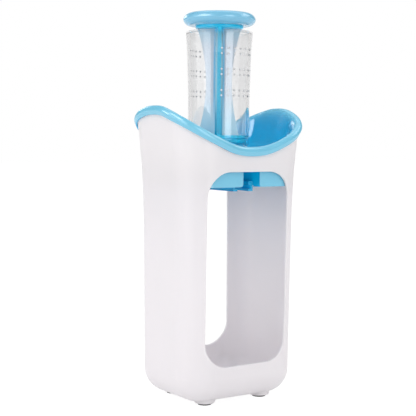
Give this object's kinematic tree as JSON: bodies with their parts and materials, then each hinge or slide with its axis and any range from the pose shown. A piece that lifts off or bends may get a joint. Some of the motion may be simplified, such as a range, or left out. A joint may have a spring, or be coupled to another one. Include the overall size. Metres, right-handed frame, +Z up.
{
  "type": "food pouch filling station",
  "caption": "Table-top station with a windowed housing, a saddle-rimmed tray and a clear tube whose plunger presses food down into a pouch.",
  "frame": {"origin": "on the table, under the middle of the object: z = 0 is the plane of the four rubber feet", "axes": "+Z up along the tube; the front window faces -Y; +X runs to the viewer's right, towards one of the rim's two high ends"},
  "size_m": [0.127, 0.101, 0.3142],
  "materials": {
    "white_plastic": "glossy white moulded plastic",
    "blue_plastic": "glossy blue moulded plastic",
    "clear_plastic": "clear polished plastic with raised marks",
    "blue_rubber": "smooth blue soft seal",
    "silicone": "smooth translucent white silicone",
    "foot_rubber": "matt dark rubber",
    "steel": "plain small screws"
  },
  "bodies": {
    "housing": {"housing": "white_plastic", "tray": "blue_plastic", "spout_holder": "blue_plastic", "holder_screws": "steel", "foot_front_left": "foot_rubber", "foot_front_right": "foot_rubber", "foot_back_left": "foot_rubber", "foot_back_right": "foot_rubber"},
    "tube": {"tube": "clear_plastic", "tube_seal": "silicone"},
    "plunger": {"plunger_stem": "blue_plastic", "piston_seal": "blue_rubber", "knob": "blue_plastic"}
  },
  "joints": [
    {"name": "tube_lift", "type": "slide", "parent": "housing", "child": "tube", "axis": [0, 0, 1], "range_m": [0, 0.07]},
    {"name": "plunger_press", "type": "slide", "parent": "tube", "child": "plunger", "axis": [0, 0, 1], "range_m": [0, 0.095]}
  ]
}
